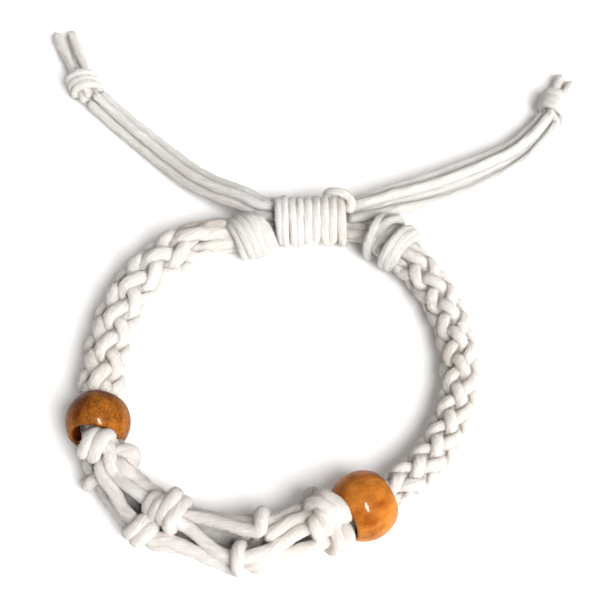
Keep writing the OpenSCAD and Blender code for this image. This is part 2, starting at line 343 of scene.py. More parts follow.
@dataclass(frozen=True)
class Yarn:
    """Cross-section of a cord."""

    width: float  # size across, in the direction handed to the sweep
    thick: float  # size at right angles to it
    sides: int = 24  # corners of the cross-section
    uneven: float = 0.05  # how lumpy the cord is, as a share of its radius
    plies: int = 5  # loose strands that show around the cord
    furrow: float = 0.09  # depth of the grooves between them, as a share of its radius
    stray: float = 6.0  # loose fibres that stand off each millimetre of cord

    def sweep(
        self,
        path: Array,
        across: Sequence[float] | Array,
        seed: int,
        tone: float = 0.5,
        scale: Array | float = 1.0,
    ) -> Surface:
        """Carries the cross-section along a path and rounds both ends off.

        The surface is p + k (w/2 cos t a + h/2 sin t b), with a across the path, b = tangent x a
        and k the scale with its ripples and furrows. A furrow lies where the cosine of half the
        plies times the turn plus a slow twist is near 0. At each end k falls on a quarter circle
        while p moves on by the same circle's height.

        Args:
            path: evenly spaced points.
            across: direction of the width, at each point or only at the first.
            seed: chooses the ripples.
            tone: where the cord stands between its two tints, 0 to 1.
            scale: size factor, one number or one for each point.

        Returns:
            The closed surface.
        """
        if np.ndim(across) == 1:
            across = carried(path, across)
        n = self.sides
        scale = np.broadcast_to(np.asarray(scale, float), (len(path),))
        along = tangents(path)
        q = np.radians([75.0, 50.0, 25.0])
        reach = min(self.width, self.thick) / 2
        first, last = along[0] * reach * scale[0], along[-1] * reach * scale[-1]
        head = path[0] - np.outer(np.sin(q), first)
        tail = path[-1] + np.outer(np.sin(q[::-1]), last)
        p = np.concatenate([head, path, tail])
        order = np.r_[[0] * len(q), 0 : len(path), [-1] * len(q)]
        t, a = along[order], across[order]
        k = np.concatenate([scale[0] * np.cos(q), scale, scale[-1] * np.cos(q[::-1])])
        a = unit(a - (a * t).sum(-1, keepdims=True) * t)
        b = np.cross(t, a)
        v = arc(p)
        u = np.arange(n) / n
        around = np.pi * (self.plies * u + 0.16 * v[:, None] + 0.37 * seed)
        comes = 0.65 + 0.35 * np.sin(0.9 * v[:, None] + 2 * np.pi * u + seed)
        furrow = self.furrow * comes * (np.abs(np.cos(around)) ** 0.6 - 0.75)
        size = k[:, None] * (1 + furrow + ripples(u[None], v[:, None], seed, self.uneven))
        ring_a = self.width / 2 * np.cos(2 * np.pi * u) * size
        ring_b = self.thick / 2 * np.sin(2 * np.pi * u) * size
        grid = p[:, None] + ring_a[..., None] * a[:, None] + ring_b[..., None] * b[:, None]
        verts = np.concatenate([grid.reshape(-1, 3), [path[0] - first, path[-1] + last]])
        quads, place = band(len(p), n)
        r, base, pole = np.arange(n), (len(p) - 1) * n, len(p) * n
        caps = ((pole, (r + 1) % n, r), (pole + 1, base + r, base + (r + 1) % n))
        tri_uv = np.zeros((2 * n, 3, 2))
        tri_uv[:n, :, 0] = np.stack([r + 0.5, r + 1, r], -1) / n
        tri_uv[n:, :, 0] = np.stack([r + 0.5, r, r + 1], -1) / n
        tri_uv[n:, :, 1] = v[-1]
        skin = Surface(
            verts,
            quads,
            np.concatenate([np.stack(np.broadcast_arrays(*cap), -1) for cap in caps]),
            np.stack([place[..., 0] / n, v[place[..., 1]]], -1),
            tri_uv,
            np.full(len(verts), tone),
        )
        return Surface.joined([skin, stray_fibres(skin, int(self.stray * v[-1]), seed + 5000)])


def added(name: str, data: bpy.types.ID) -> Object:
    """Puts a new object in the scene.

    Args:
        name: its name.
        data: its mesh, lamp or camera.

    Returns:
        The object, at the origin and unturned.
    """
    made = bpy.data.objects.new(name, data)
    bpy.context.scene.collection.objects.link(made)
    return made


def make_piece(
    name: str,
    parts: Sequence[Surface],
    finish: Material,
    *nodes: str,
    slot: str = "cord",
) -> Object:
    """Makes surfaces one piece of the object.

    Args:
        name: the piece's name.
        parts: its surfaces in millimetres.
        finish: its material.
        nodes: CAD nodes that it stands for.
        slot: not used.

    Returns:
        The new object, which rides on the root body.
    """
    surface = Surface.joined(parts)
    verts = (surface.verts + SHIFT) * MM
    verts[:, 2] = np.maximum(verts[:, 2], 0.0)  # soft cord lies flat where it touches the surface
    mesh = bpy.data.meshes.new(name)
    mesh.from_pydata(verts, [], surface.quads.tolist() + surface.tris.tolist())
    layer = mesh.uv_layers.new(name="cord")
    uv = np.concatenate([surface.quad_uv.reshape(-1, 2), surface.tri_uv.reshape(-1, 2)])
    layer.data.foreach_set("uv", uv.ravel())
    tone = mesh.attributes.new("tone", "FLOAT", "POINT")
    tone.data.foreach_set("value", surface.tone)
    mesh.polygons.foreach_set("use_smooth", np.ones(len(mesh.polygons), bool))
    mesh.materials.append(finish)
    mesh.update()
    piece = added(name, mesh)
    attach(piece, "root")
    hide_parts(*nodes)
    LOG.info("%s: %d faces, stands for %s", name, len(mesh.polygons), ", ".join(nodes))
    return piece


# --- materials ---


class NodeSheet:
    """Short ways to lay out a material's nodes."""

    def __init__(self, name: str) -> None:
        """Starts an empty material with a principled shader.

        Args:
            name: the material's name.
        """
        self.material = bpy.data.materials.new(name)
        self.material.use_nodes = True
        self.tree = self.material.node_tree
        self.shader = self.tree.nodes["Principled BSDF"]

    def put(self, socket: Socket, value: object) -> None:
        """Fills an input.

        Args:
            socket: the input.
            value: what it gets, or the output that is linked to it.
        """
        if isinstance(value, Socket):
            self.tree.links.new(value, socket)
        else:
            socket.default_value = value

    def add(self, kind: str, pick: int | str = 0, **inputs: object) -> Socket:
        """Adds a node and sets it up.

        Args:
            kind: the node's type, after the word ShaderNode.
            pick: number or name of the output that is wanted.
            inputs: _name sets a property, i0 i1 ... and other names fill an input.

        Returns:
            That output.
        """
        node = self.tree.nodes.new("ShaderNode" + kind)
        for key, value in sorted(inputs.items(), key=lambda item: item[0][0] != "_"):
            if key.startswith("_"):
                setattr(node, key[1:], value)
            else:
                self.put(node.inputs[int(key[1:]) if key[1:].isdigit() else key], value)
        return node.outputs[pick]

    def math(self, way: str, a: object, b: object = 0.0, c: object = 0.0) -> Socket:
        """Result of a math node."""
        return self.add("Math", _operation=way, i0=a, i1=b, i2=c)

    def noise(self, spot: Socket, scale: float, detail: float, rough: float = 0.5) -> Socket:
        """Result of a noise node."""
        return self.add("TexNoise", Vector=spot, Scale=scale, Detail=detail, Roughness=rough)

    def mix(self, share: object, a: object, b: object, way: str = "MIX") -> Socket:
        """Result of a colour mix node."""
        return self.add("Mix", 2, _data_type="RGBA", _blend_type=way, i0=share, i6=a, i7=b)

    def spread(self, value: Socket, low: float, high: float, *to: float) -> Socket:
        """Result of a map range node from low..high to the range given."""
        return self.add("MapRange", i0=value, i1=low, i2=high, i3=to[0], i4=to[1])

    def finish(self, **inputs: object) -> Material:
        """Fills the shader's inputs.

        Args:
            inputs: what each gets, with _ for a space in its name.

        Returns:
            The material.
        """
        for key, value in inputs.items():
            self.put(self.shader.inputs[key.replace("_", " ")], value)
        return self.material


@dataclass(frozen=True)
class Cotton:
    """Soft cotton cord: fine fibres that run along it with a slight twist."""

    name: str  # the material's name
    light: Tint  # tint of most of the cord
    warm: Tint  # tint of its creamier stretches
    twist: float = 0.5  # radians that the fibres turn in a millimetre
    lines: float = 4.6  # how many fibre lines show around the cord
    relief: float = 0.0005  # height of the fibre lines, in metres

    def material(self) -> Material:
        """The finish as nodes that read the cord's own UV map, tone and Object coordinates.

        Fibres are a noise at (lines cos t, lines sin t, 0.28 v + 40 tone), which has no seam
        around the cord. Their hollows are painted darker and browner, as painted shade.

        Returns:
            The material.
        """
        s = NodeSheet(self.name)
        u, v = s.add("SeparateXYZ", i0=s.add("UVMap", _uv_map="cord")).node.outputs[:2]
        turned = s.math("MULTIPLY_ADD", v, self.twist, s.math("MULTIPLY", u, 2 * np.pi))
        tone = s.add("Attribute", "Fac", _attribute_name="tone")
        place = s.add(
            "CombineXYZ",
            i0=s.math("MULTIPLY", s.math("COSINE", turned), self.lines),
            i1=s.math("MULTIPLY", s.math("SINE", turned), self.lines),
            i2=s.math("MULTIPLY_ADD", v, 0.28, s.math("MULTIPLY", tone, 40.0)),
        )
        fibres = s.noise(place, 1.0, 4.0, 0.7)
        spot = s.add("TexCoord", "Object")
        fuzz, patch = s.noise(spot, 2600.0, 2.0), s.noise(spot, 95.0, 1.0)
        cream = s.spread(patch, 0.42, 0.66, 0.0, 0.6)
        warmth = s.add("Clamp", i0=s.math("ADD", cream, s.spread(tone, 0.0, 1.0, 0.0, 0.5)))
        tint = s.mix(warmth, (*self.light, 1), (*self.warm, 1))
        # painted shade: the fibres' hollows are darkened and made browner in the base colour
        groove_shade = s.spread(fibres, 0.34, 0.6, 0.81, 1.04)
        groove_shade_blue = s.math("MULTIPLY_ADD", groove_shade, 1.12, -0.125)
        shade = s.add("CombineColor", i0=groove_shade, i1=groove_shade, i2=groove_shade_blue)
        height = s.math("MULTIPLY_ADD", fuzz, 0.5, fibres)
        s.shader.subsurface_method = "BURLEY"
        return s.finish(
            Base_Color=s.mix(1.0, tint, shade, "MULTIPLY"),
            Normal=s.add("Bump", Strength=0.9, Distance=self.relief, Height=height),
            Subsurface_Weight=0.8,
            Subsurface_Radius=(1.0, 0.92, 0.83),
            Subsurface_Scale=0.0014,
            Roughness=0.95,
            Specular_IOR_Level=0.12,
            Sheen_Weight=0.35,
            Sheen_Roughness=0.6,
            Sheen_Tint=(1.0, 0.98, 0.95, 1.0),
        )


@dataclass(frozen=True)
class StainedWood:
    """Turned wood, stained amber brown and lacquered."""

    name: str  # the material's name
    light: Tint  # tint of the open grain
    dark: Tint  # tint of the dense grain
    speckle: float = 0.25  # how strongly the fine pores show

    def material(self, centre: Point, turn: float) -> Material:
        """The finish as nodes on Object coordinates, with the grain along the bead's hole.

        Args:
            centre: middle of the bead, in metres.
            turn: angle of the hole from X, in radians.

        Returns:
            The material: two tints mixed by a broad and a cloudy noise, painted darker inside the
                hole as painted shade.
        """
        s = NodeSheet(self.name)
        spot = s.add("TexCoord", "Object")
        at = {"Location": centre, "Rotation": (0, 0, turn)}
        placed = s.add("Mapping", _vector_type="TEXTURE", Vector=spot, **at)
        grain = s.add("Mapping", Vector=placed, Scale=(0.5, 1.0, 1.0))
        broad, fine = s.noise(grain, 700.0, 5.0), s.noise(grain, 4200.0, 3.0)
        cloud = s.noise(placed, 190.0, 2.0)
        figure = s.math("MULTIPLY_ADD", broad, 0.45, s.math("MULTIPLY", cloud, 0.55))
        body = s.mix(s.spread(figure, 0.38, 0.6, 0.0, 1.0), (*self.dark, 1), (*self.light, 1))
        fleck = s.spread(fine, 0.36, 0.64, 0.6, 1.4)
        grey = s.add("CombineColor", i0=fleck, i1=fleck, i2=fleck)
        flecked = s.mix(self.speckle, body, s.mix(1.0, body, grey, "MULTIPLY"))
        # painted shade: the hole's wall is painted darker and browner
        inside = s.mix(1.0, flecked, (0.85, 0.6, 0.5, 1.0), "MULTIPLY")
        tone = s.add("Attribute", "Fac", _attribute_name="tone")
        return s.finish(
            Base_Color=s.mix(tone, flecked, inside),
            Normal=s.add("Bump", Strength=0.35, Distance=0.00003, Height=fine),
            Roughness=s.spread(cloud, 0.3, 0.7, 0.38, 0.5),
            Specular_IOR_Level=0.06,
            Coat_Weight=0.26,
            Coat_Roughness=0.07,
        )


BRAID_COTTON = Cotton("braid_cotton", (0.655, 0.636, 0.62), (0.645, 0.6, 0.56))
NET_COTTON = Cotton("net_cotton", (0.60, 0.578, 0.57), (0.592, 0.552, 0.525), 0.35, 5.2)
KNOT_COTTON = Cotton("knot_cotton", (0.565, 0.56, 0.553), (0.55, 0.525, 0.495), 0.16, 3.6)
TIE_COTTON = Cotton("tie_cotton", (0.64, 0.636, 0.632), (0.62, 0.592, 0.556), 0.16, 3.6)


# --- the loop that everything follows ---


@dataclass(frozen=True)
class Loop:
    """The bracelet's closed middle line."""

    # distance from the middle every 15 degrees, counted from +X towards +Y
    radii: tuple[float, ...] = (
        27.9, 28.4, 29.1, 29.4, 29.5, 28.9, 27.7, 26.9, 28.4, 28.9, 28.5, 27.6,
        27.4, 28.8, 30.3, 30.2, 29.5, 28.4, 26.6, 24.5, 25.0, 25.7, 26.5, 27.2,
    )  # fmt: skip
    # height at the same angles
    heights: tuple[float, ...] = (
        3.7, 3.7, 3.8, 4.3, 4.8, 4.8, 4.8, 4.8, 4.3, 3.8, 3.7, 3.7,
        4.4, 5.1, 5.0, 4.9, 4.9, 4.9, 4.9, 5.1, 5.5, 4.9, 4.0, 3.7,
    )  # fmt: skip
    mean: float = 28.0  # radius by which an angle is turned into a length

    @staticmethod
    def _spline(values: Sequence[float], angle: Array) -> Array:
        """Uniform cubic B-spline of a closed list of values, one every 15 degrees.

        Args:
            values: the list.
            angle: where it is wanted, in degrees.

        Returns:
            Four neighbouring values, each times its cubic weight.
        """
        v, t = np.asarray(values), np.asarray(angle, float) / 15
        n, i = len(v), np.floor(t).astype(int)
        u = t - i
        a, b, c, d = v[(i - 1) % n], v[i % n], v[(i + 1) % n], v[(i + 2) % n]
        falling, rising = 3 * u**3 - 6 * u**2 + 4, -3 * u**3 + 3 * u**2 + 3 * u + 1
        return ((1 - u) ** 3 * a + falling * b + rising * c + u**3 * d) / 6

    def length(self, angle: Array | float) -> Array | float:
        """Length that an angle in degrees spans along the line, near enough."""
        return np.abs(angle) * self.mean * np.pi / 180

    def at(self, angle: Array | float) -> Array:
        """Points of the line at angles in degrees."""
        r, turn = self._spline(self.radii, angle), np.radians(angle)
        return np.stack([r * np.cos(turn), r * np.sin(turn), self._spline(self.heights, angle)], -1)

    def along(self, angle: Array | float) -> Array:
        """Direction of the line, towards growing angles."""
        return unit(self.at(angle + 0.1) - self.at(angle - 0.1))

    def outward(self, angle: Array | float) -> Array:
        """Level direction across the line, away from the middle."""
        return unit(np.cross(self.along(angle), UP))

    def upward(self, angle: Array | float) -> Array:
        """Direction across both the line and outward."""
        return np.cross(self.outward(angle), self.along(angle))

    def around(self, angle: float, turn: float, wide: float, tall: float) -> Array:
        """A point of the ellipse of half width wide and half height tall around the line."""
        out, up = wide * np.cos(np.radians(turn)), tall * np.sin(np.radians(turn))
        return self.at(angle) + out * self.outward(angle) + up * self.upward(angle)


LOOP = Loop()


# --- beads ---


@dataclass(frozen=True)
class Bead:
    """A turned wooden bead with a wide hole."""

    name: str  # its CAD node
    angle: float  # where it sits on the loop
    size: float  # diameter
    wood: StainedWood  # its finish
    aim: float  # how far the hole is turned clockwise from the loop's direction, in degrees
    nose: float  # how far the hole's far end along the loop is raised, in degrees
    bore: float = 6.4  # diameter of the hole
    edge: float = 0.45  # radius of the rounded edge of the hole

    def centre(self) -> Array:
        """Middle of the bead, which rests on the surface."""
        return np.array([*LOOP.at(self.angle)[:2], self.size / 2])

    def turn(self) -> float:
        """Angle of the hole from X, in radians."""
        t = LOOP.along(self.angle)
        return float(np.arctan2(t[1], t[0]) - np.radians(self.aim))

    def profile(self) -> tuple[Array, Array]:
        """Half section of the bead as (x along the hole, radius), and how far inside it is.

        The outside is an arc of the ball, each edge a quarter turn of a small arc that meets the
        ball and the hole, and the hole a straight line.

        Returns:
            The points in order around the section, and 0 outside to 1 in the hole for each.
        """
        r, b, e = self.size / 2, self.bore / 2, self.edge
        # middle of the edge's small arc: e outside the hole's wall and e inside the ball
        y = b + e
        x = np.sqrt((r - e) ** 2 - y**2)
        lean = np.arctan2(y, x)

        def bow(middle: float, height: float, radius: float, turn: Array) -> Array:
            """Points of an arc around (middle, height)."""
            return np.stack([middle + radius * np.cos(turn), height + radius * np.sin(turn)], -1)

        outer = bow(0.0, 0.0, r, np.linspace(lean, np.pi - lean, 61))
        far = bow(-x, y, e, np.linspace(np.pi - lean, 1.5 * np.pi, 9)[1:])
        wall = np.stack([np.linspace(-x, x, 14)[1:-1], np.full(12, b)], -1)
        near = bow(x, y, e, np.linspace(-0.5 * np.pi, lean, 9)[:-1])
        line = np.concatenate([outer, far, wall, near])
        # the second list is the mask of the painted shade inside the hole
        return line, ramp(b + 0.55 * e - line[:, 1], 0.0, 0.5 * e)

    def build(self, sides: int = 96) -> Object:
        """Turns the section about the hole's axis: (x, r cos t, r sin t).

        Args:
            sides: steps of the turn t.

        Returns:
            The bead's piece.
        """
        line, inside = self.profile()
        t = np.arange(sides) * 2 * np.pi / sides
        x, r = line[:, :1], line[:, 1:]
        grid = np.stack(np.broadcast_arrays(x, r * np.cos(t), r * np.sin(t)), -1)
        c, s = np.cos(self.turn()), np.sin(self.turn())
        spin = np.array([[c, -s, 0.0], [s, c, 0.0], [0.0, 0.0, 1.0]])
        c, s = np.cos(np.radians(self.nose)), np.sin(np.radians(self.nose))
        rise = np.array([[c, 0.0, -s], [0.0, 1.0, 0.0], [s, 0.0, c]])
        verts = grid.reshape(-1, 3) @ (spin @ rise).T + self.centre()
        quads, place = band(len(line), sides, closed=True)
        back = [0, 3, 2, 1]  # the section runs so that this order faces outwards
        surface = Surface(
            verts,
            quads[:, back],
            np.zeros((0, 3), int),
            (place[..., ::-1] / [len(line), sides])[:, back],
            np.zeros((0, 3, 2)),
            np.repeat(inside, sides),
        )
        finish = self.wood.material(tuple((self.centre() + SHIFT) * MM), self.turn())
        return make_piece(f"{self.name}_turned", [surface], finish, self.name, slot="wood")


# --- braids ---


@dataclass(frozen=True)
class RoundBraid:
    """An eight-strand round braid: four cords turn one way, four the other, over one, under one."""

    side: str  # left or right, as in the CAD nodes' names
    start: float  # loop angle at the knot
    stop: float  # loop angle at the bead
    inner: tuple[Point, ...]  # route from inside the big knot to the braid's first point
    into: float  # loop angle, inside the bead, where the cords end
    pitch: float  # length in which a cord goes once around
    seed: int  # chooses the cords' unevenness and tones
    radius: float = 2.06  # mean distance of a cord from the middle
    wave: float = 0.8  # how far a cord goes in and out
    lazy: float = 0.3  # share by which a cord turns slower while it lies outside
    size: float = 1.0  # the section against the left braid's
    yarn: Yarn = Yarn(2.25, 1.75)  # section of a cord

    def middle(self) -> tuple[Array, Array]:
        """The braid's middle line from the knot into the bead.

        Returns:
            Points, and for each the length along the loop from the braid's start that sets the
            turn of the cords. It is below 0 before the start.
        """
        sense, step = np.sign(self.stop - self.start), 0.6  # step in degrees
        angles = np.arange(0, abs(self.into - self.start), step) * sense + self.start
        body = LOOP.at(angles)
        lead = curve([*self.inner, body[0], body[4]])
        lead = lead[: np.argmin(np.linalg.norm(lead - body[0], axis=1))]
        back = arc(lead) - arc(lead)[-1] - STEP
        length = LOOP.length(angles - self.start)
        return np.concatenate([lead, body]), np.concatenate([back, length])

    def cord(self, k: int) -> Surface:
        """One cord of the braid.

        Its line is middle + (radius + wave * w) away. The direction away turns once a pitch, one
        way for the first four cords and the other way for the rest, and w = -cos(4 turn) for the
        first four and cos(4 turn) for the rest, flattened at its ends, so each cord lies outside
        at every second crossing. The cords close up in the knot and in the bead.

        Args:
            k: number of the cord, 0 to 7.

        Returns:
            Its surface.
        """
        centre, s = self.middle()
        along = tangents(centre) * np.sign(self.stop - self.start)
        out = unit(np.cross(along, UP))
        up = np.cross(out, along)
        sense, slow = (1 if k < 4 else -1), 0.3  # the cords turn slower inside the knot
        turned = np.where(s < 0, slow * s, s) / self.pitch
        even_turn = sense * 2 * np.pi * turned + np.pi / 2 * (k % 4)
        turn = even_turn + sense * self.lazy / 4 * np.sin(4 * even_turn)
        bead = LOOP.length(self.stop - self.start)
        # lengths from here on count from the knot's mouth, or from the bead's mouth
        loose = ramp(s, -3.5, 0.0) * (1 - 0.7 * ramp(s, bead - 1.5, bead + 1.0))
        crest, peak = 0.8, 0.6293  # peak is crest - crest ** 3 / 3
        c = -crest * sense * np.cos(4 * turn)
        w = c * (1 - c * c / 3) / peak * loose
        squeeze = 1 - 0.12 * ramp(s, bead - 1.0, bead + 1.6) - 0.3 * ramp(-s, 4.5, 8.0)
        away = np.cos(turn)[:, None] * out + np.sin(turn)[:, None] * up
        line = centre + (self.size * (self.radius + self.wave * w) * squeeze)[:, None] * away
        path = even(line)
        share, near = arc(line) / arc(line)[-1], np.linspace(0, 1, len(path))
        face = unit(np.stack([np.interp(near, share, away[:, a]) for a in range(3)], -1))
        wide = unit(np.cross(tangents(path), face))
        where = np.interp(near, share, s)
        swell = 1 + 0.1 * ramp(-where, 0.5, 3.0) - 0.2 * ramp(where, bead - 0.5, bead + 1.5)
        seed = self.seed + 17 * k
        return self.yarn.sweep(path, wide, seed, drawn(seed + 900, 0.1, 0.9), swell * self.size)

    def build(self, finish: Material) -> None:
        """Makes one piece for each cord.

        Args:
            finish: the cotton.
        """
        for k in range(8):
            name, node = (f"braid_{self.side}_{word}_{k + 1}" for word in ("cord", "strand"))
            make_piece(name, [self.cord(k)], finish, node)


# --- net ---


class KnotStyle(Enum):
    """How the two cords of a small knot hold each other."""

    RING = "one cord goes once around its neighbour"
    DOUBLE = "one cord goes twice around its neighbour"
    PAIR = "both cords make one overhand knot together"


@dataclass(frozen=True)
class NetKnot:
    """A small knot of two cords of the net."""

    angle: float  # where it is on the loop
    turn: float  # where it is around the net, 0 outwards and 90 up
    size: float = 1.45  # distance of the outer turns' middle from the knot's middle
    style: KnotStyle = KnotStyle.RING  # how it is tied
    lean: float = 20.0  # angle of the knot's own axis to the net, in degrees
    out: float = 0.0  # how far it stands out of the net's tube

    def turns(self, side: int) -> Array:
        """The way of a cord through the knot.

        Args:
            side: the side that the cord comes from and leaves on, -1 or 1.

        Returns:
            Points (x along the knot's axis, y across, z outwards). Turns follow y = r sin f,
            z = r cos f while x moves on by one cord width a turn.
        """
        r = self.size
        if self.style is KnotStyle.PAIR:
            f = np.radians(np.arange(-150, 331, 30))
            x = np.linspace(1.35, -1.15, len(f)) + 0.6 * side
            turns = np.stack([x, r * np.sin(f), r * np.cos(f)], -1)
            comes = [[-2.6, 0.9 * side, -0.5], [-0.6, 0.6 * side, -0.7], [1.0, 0.3 * side, -0.6]]
            goes = [[-0.6, 0.2 * side, 0.3], [0.8, 0.4 * side, 0.2], [2.8, 0.9 * side, -0.4]]
        elif side < 0:
            count = 1 if self.style is KnotStyle.RING else 2
            f = side * np.radians(np.arange(100, 81 - 360 * count, -20))
            x = np.linspace(-0.55, 0.55, len(f)) * count
            turns = np.stack([x, (r + 0.1) * np.sin(f), r * np.cos(f)], -1)
            comes, goes = [[-2.4, 1.1 * side, -0.2]], [[2.4, 1.1 * side, -0.2]]
        else:
            comes, turns, goes = [[-2.4, 0.8, -0.3]], [[0.0, 0.15, -0.35]], [[2.4, 0.8, -0.3]]
        return np.concatenate([comes, turns, goes])


@dataclass(frozen=True)
class KnottedNet:
    """The empty net between the beads: eight cords joined in staggered pairs."""

    rows: tuple[tuple[NetKnot, ...], ...]  # the knots, row by row from the left bead
    half_w: float = 2.9  # half width of the collapsed net
    half_h: float = 2.5  # half height of it
    first: float = 195.7  # loop angle of the left bead
    last: float = 299.8  # loop angle of the right bead
    yarn: Yarn = Yarn(2.1, 1.95)  # section of a cord
    # (angle from the left bead's middle, radius) of each cord inside it
    enter: tuple[tuple[float, float], ...] = ((0, 2.35), (3, 2.0), (7.4, 1.2))
    # the same to the right bead's middle
    leave: tuple[tuple[float, float], ...] = ((-7.4, 1.35), (-3, 2.1), (0, 2.4))
    near: float = 5.5  # loop angle from a knot's middle to the points before and behind it
    beside: float = 14.0  # angle around the net from a knot's middle to those points
    splay: float = 22.0  # the same to a cord's place in a bead
    # route of the short cut end beside the middle knot
    stub: tuple[Point, ...] = (
        (-2.6, -24.6, 5.2), (-1.2, -24.0, 6.3), (0.2, -23.8, 6.6), (1.4, -23.9, 6.5),
    )  # fmt: skip
    stub_yarn: Yarn = Yarn(1.4, 1.2, sides=16, stray=14.0)  # section of that end
    seed: int = 40  # chooses the cords' unevenness and tones

    def point(self, angle: float, turn: float) -> Array:
        """A point of the net's tube, which narrows towards both beads."""
        full = 0.45 + 0.55 * ramp(np.minimum(angle - self.first, self.last - angle), 7.0, 12.5)
        return LOOP.around(angle, turn, full * self.half_w, full * self.half_h)

    def through(self, knot: NetKnot, side: int) -> Array:
        """The points of a cord in a knot and just before and behind it.

        Args:
            knot: the knot.
            side: the side that the cord comes from and leaves on, -1 or 1.

        Returns:
            Points middle + x d + y round + z out, where d leans by the knot's angle from the loop.
        """
        a, t, lean = knot.angle, np.radians(knot.turn), np.radians(knot.lean)
        out = np.cos(t) * LOOP.outward(a) + np.sin(t) * LOOP.upward(a)
        along = LOOP.along(a)
        d = along * np.cos(lean) + np.cross(out, along) * np.sin(lean)
        middle = self.point(a, knot.turn) + knot.out * out
        places = middle + knot.turns(side) @ np.stack([d, np.cross(out, d), out])
        turn = knot.turn + self.beside * side
        before, after = self.point(a - self.near, turn), self.point(a + self.near, turn)
        return np.concatenate([[before], places, [after]])

    def routes(self) -> list[Array]:
        """The routes of all cords from inside the left bead to inside the right one.

        In rows 0 and 2 cords 0 and 1, 2 and 3 ... share a knot, in rows 1 and 3 cords 1 and 2,
        3 and 4 ... do, so every cord goes from knot to knot beside its two neighbours in turn.

        Returns:
            Points of each cord, eased and pushed apart.
        """
        made = []
        for cord in range(8):
            places = [(cord + 7 * (row % 2)) % 8 for row in range(len(self.rows))]
            knots = [knots[place // 2] for knots, place in zip(self.rows, places)]
            sides = [2 * (place % 2) - 1 for place in places]
            first, last = (knots[end].turn + self.splay * sides[end] for end in (0, -1))
            points = [[LOOP.around(self.first + x, first, r, r)] for x, r in self.enter]
            points += [self.through(knot, side) for knot, side in zip(knots, sides)]
            points += [[LOOP.around(self.last + x, last, r, r)] for x, r in self.leave]
            made.append(eased(np.concatenate(points), 0.42))
        return settle(made, [self.yarn.width * self.grip(arc(path)) for path in made])

    @staticmethod
    def grip(s: Array) -> Array:
        """Size of a cord at lengths s: wide in a bead's middle, narrow at its mouth, then full."""
        inward = np.minimum(s, s[-1] - s)
        return 0.62 + 0.3 * (1 - ramp(inward, 0.5, 2.2)) + 0.38 * ramp(inward, 3.4, 5.2)

    def build(self, finish: Material) -> Object:
        """Makes all cords of the net one piece.

        Args:
            finish: the cotton.

        Returns:
            The piece.
        """
        made, up = [], LOOP.upward(self.first)
        for cord, route in enumerate(self.routes()):
            path, seed = curve(route, 0.28), self.seed + cord
            tone = drawn(seed + 30, 0.0, 0.8)
            made.append(self.yarn.sweep(path, up, seed, tone, self.grip(arc(path))))
        path = curve(self.stub, 0.2)
        taper = 1 - 0.45 * ramp(np.linspace(0, 1, len(path)), 0.35, 1.0)
        made.append(self.stub_yarn.sweep(path, (0.0, 1.0, 0.0), self.seed + 21, 0.4, taper))
        return make_piece("net_cords", made, finish, "net")


# --- big knots, sliding knot and tails ---


@dataclass(frozen=True)
class Turn:
    """Cords laid side by side once around something."""

    centre: Point  # middle of the turn
    axis: Point  # direction through it, level
    tall: float  # radius upwards
    deep: float  # radius across
    offsets: tuple[float, ...]  # place of each cord along the axis
    drift: float = 0.6  # how far they move along the axis on the way
    bulge: tuple[float, ...] = (0.0,)  # extra radius of each cord, one for all or one each
    # a high least tone makes the cords browner and darker; the right knot's hollow uses it as
    # painted shade
    warm: float = 0.0  # least tone of the cords
    reach: float = 170.0  # angle from the top to either end, in degrees

    def paths(self) -> list[Array]:
        """The cords' routes, with the ends tucked in.

        Returns:
            Points centre + x axis + tall cos f up + deep sin f front of each cord.
        """
        axis = unit(np.array(self.axis))
        front = np.cross(axis, UP)
        share = np.linspace(0, 1, 80)
        f = np.radians(self.reach * (2 * share - 1))
        tuck = 1 - 0.35 * (1 - ramp(share, 0.0, 0.12)) - 0.35 * ramp(share, 0.88, 1.0)
        made = []
        for i, offset in enumerate(self.offsets):
            extra = self.bulge[i % len(self.bulge)]
            x = offset + self.drift * (share - 0.5)
            z, y = (self.tall + extra) * tuck * np.cos(f), (self.deep + extra) * tuck * np.sin(f)
            ring = self.centre + x[:, None] * axis + z[:, None] * UP + y[:, None] * front
            made.append(even(ring))
        return made


@dataclass(frozen=True)
class BigKnot:
    """The overhand knot of all cords at the end of a braid."""

    side: str  # left or right
    turns: tuple[Turn, ...]  # the bundles laid around
    neck: tuple[Point, ...]  # route of the thinner bundle from the knot's inside into the wraps
    seed: int  # chooses the cords' unevenness and tones
    yarn: Yarn = Yarn(1.4, 1.4, plies=3, furrow=0.13)  # section of a cord in the turns
    neck_yarn: Yarn = Yarn(1.5, 1.5)  # section of a cord in the neck
    # place of each cord in the neck, across and up
    neck_cords: tuple[tuple[float, float], ...] = (
        (-0.7, -0.6), (0.7, -0.6), (-0.7, 0.65), (0.7, 0.65),
    )  # fmt: skip

    def build(self, finish: Material) -> Object:
        """Makes the turns and the neck one piece.

        Args:
            finish: the cotton.

        Returns:
            The piece.
        """
        made, seed = [], self.seed
        for turn in self.turns:
            for path in turn.paths():
                seed += 1
                tone = turn.warm + drawn(seed, 0.0, 0.5)
                made.append(self.yarn.sweep(path, turn.axis, seed, tone))
        neck = curve(self.neck)
        wide = carried(neck, (0.0, 1.0, 0.0))
        high = np.cross(tangents(neck), wide)
        for seed, (y, z) in enumerate(self.neck_cords, seed + 1):
            made.append(self.neck_yarn.sweep(neck + y * wide + z * high, wide, seed, 0.7))
        return make_piece(f"knot_{self.side}_cords", made, finish, f"knot_{self.side}")


@dataclass(frozen=True)
class Wrap:
    """One wrap of the sliding knot."""

    x: float  # its place from the left end of the knot
    width: float  # width of the flattened cord
    lean: float  # how far its front is to the right of its back
    radius: float  # distance of its middle line from the knot's axis
    tone: float = 0.1  # where the cord stands between its two tints


